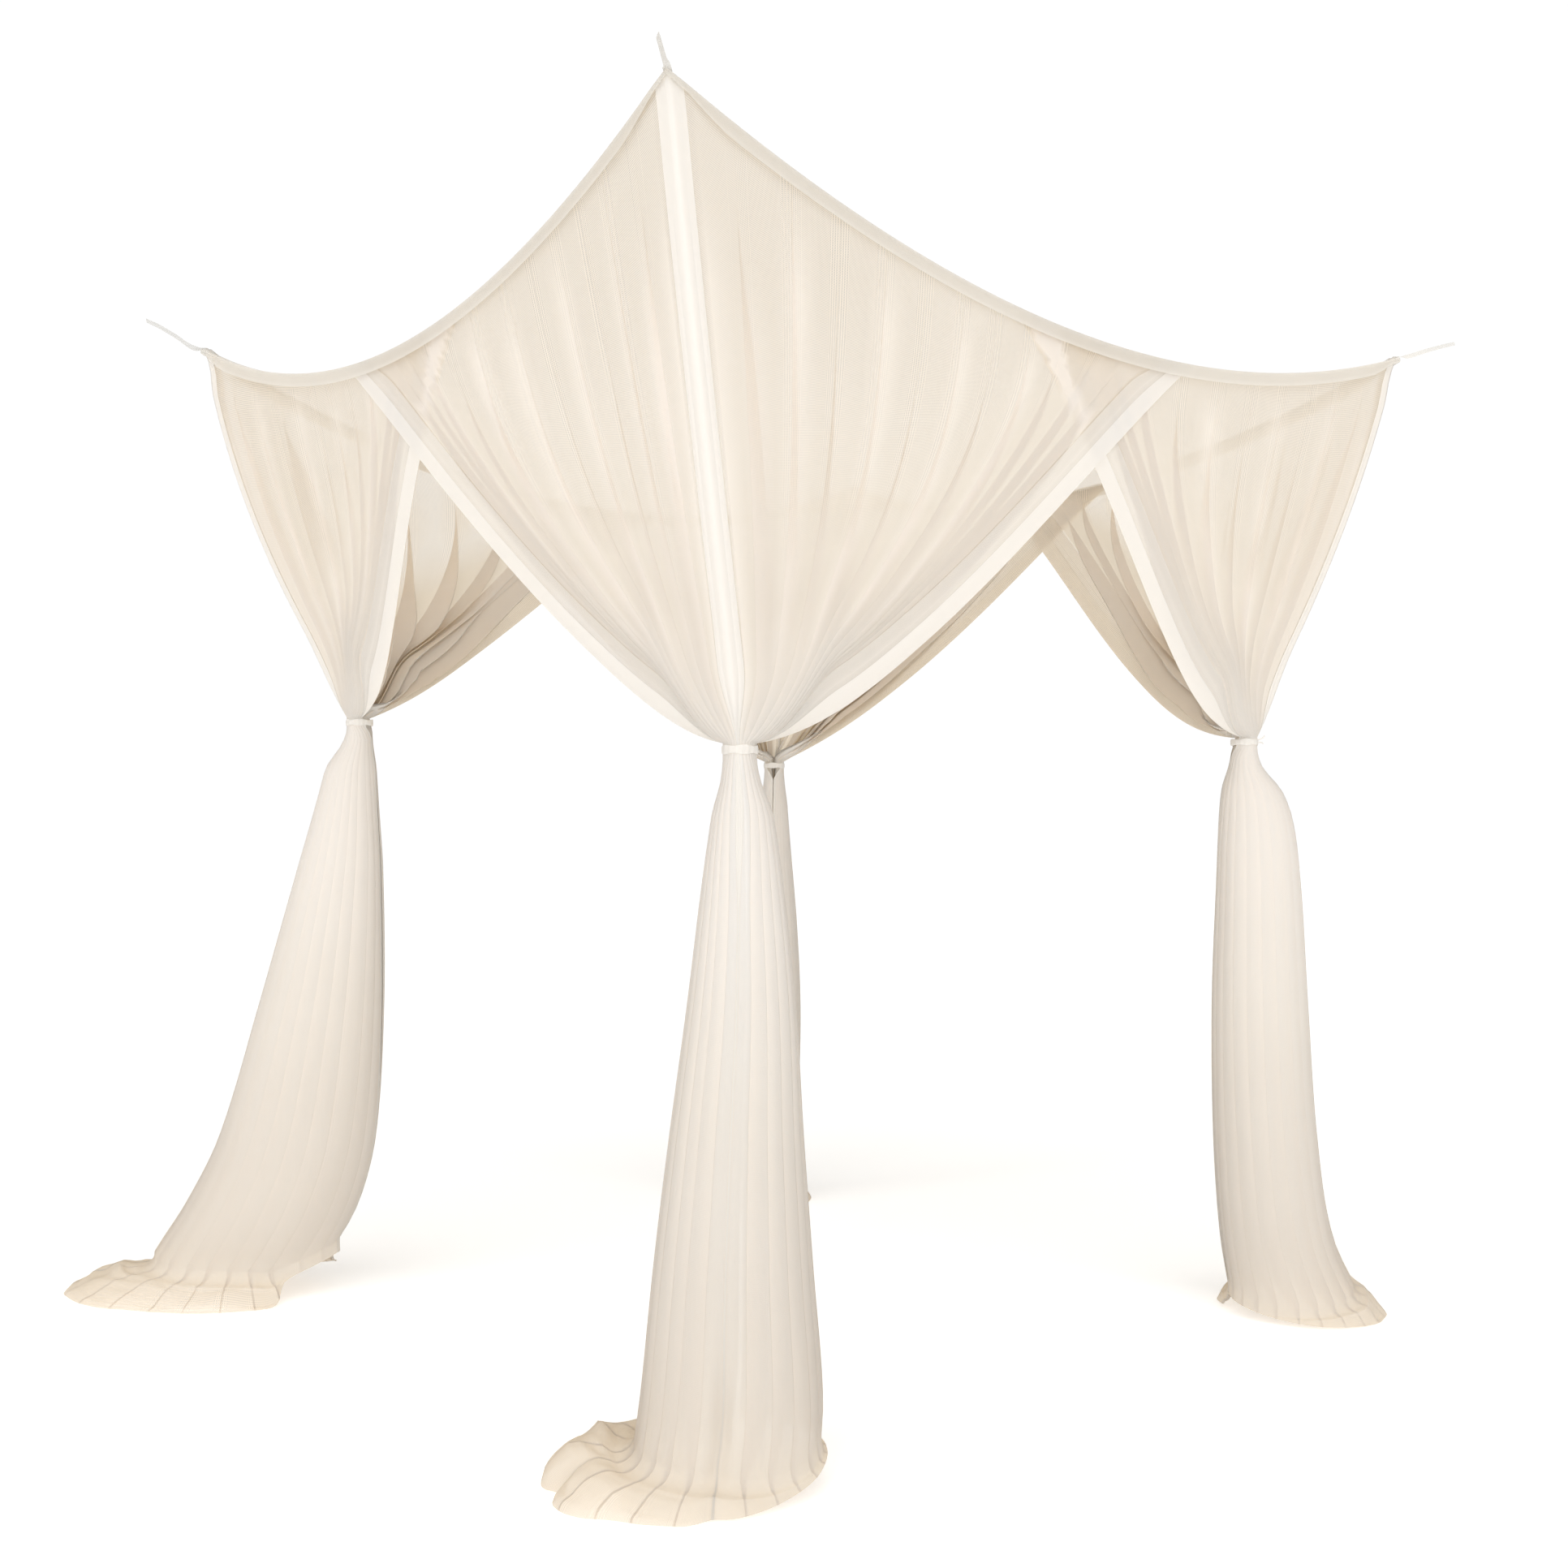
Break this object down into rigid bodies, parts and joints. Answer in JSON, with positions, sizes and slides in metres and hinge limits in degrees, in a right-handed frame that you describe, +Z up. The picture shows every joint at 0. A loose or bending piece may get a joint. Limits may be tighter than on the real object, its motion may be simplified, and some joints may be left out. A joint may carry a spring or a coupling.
{
  "type": "mosquito net canopy",
  "caption": "Rectangular mosquito net bed canopy: a sagging net roof hung by its corners, with band-edged curtains lapped, tied back and gathered into columns that pool on the floor.",
  "frame": {"origin": "on the floor, under the middle of the box that holds the whole canopy; the roof's middle is 71 mm towards +X and 114 mm towards -Y of it, because the pooled cloth runs out further at one corner", "axes": "+X along the long sides, +Y along the short sides, +Z up; the near corner, which faces the picture's camera, is at -X and -Y, the right corner at +X and -Y, the left corner at -X and +Y"},
  "size_m": [2.4128, 2.2367, 2.2627],
  "materials": {
    "net": "sheer, off-white knitted net",
    "band": "matt white woven band"
  },
  "bodies": {
    "root": {"curtain_near": "net", "curtain_right": "net", "curtain_far": "net", "curtain_left": "net", "roof_panel": "net", "edge_band_near_left": "band", "corner_band_near": "band", "edge_band_near_right": "band", "edge_band_right_left": "band", "corner_band_right": "band", "edge_band_right_right": "band", "edge_band_far_left": "band", "corner_band_far": "band", "edge_band_far_right": "band", "edge_band_left_left": "band", "corner_band_left": "band", "edge_band_left_right": "band", "tape_near_right": "band", "tape_far_right": "band", "tape_far_left": "band", "tape_near_left": "band", "tie_near": "band", "tie_right": "band", "tie_far": "band", "tie_left": "band", "ribbon_near": "band", "ribbon_right": "band", "ribbon_far": "band", "ribbon_left": "band"}
  },
  "joints": []
}
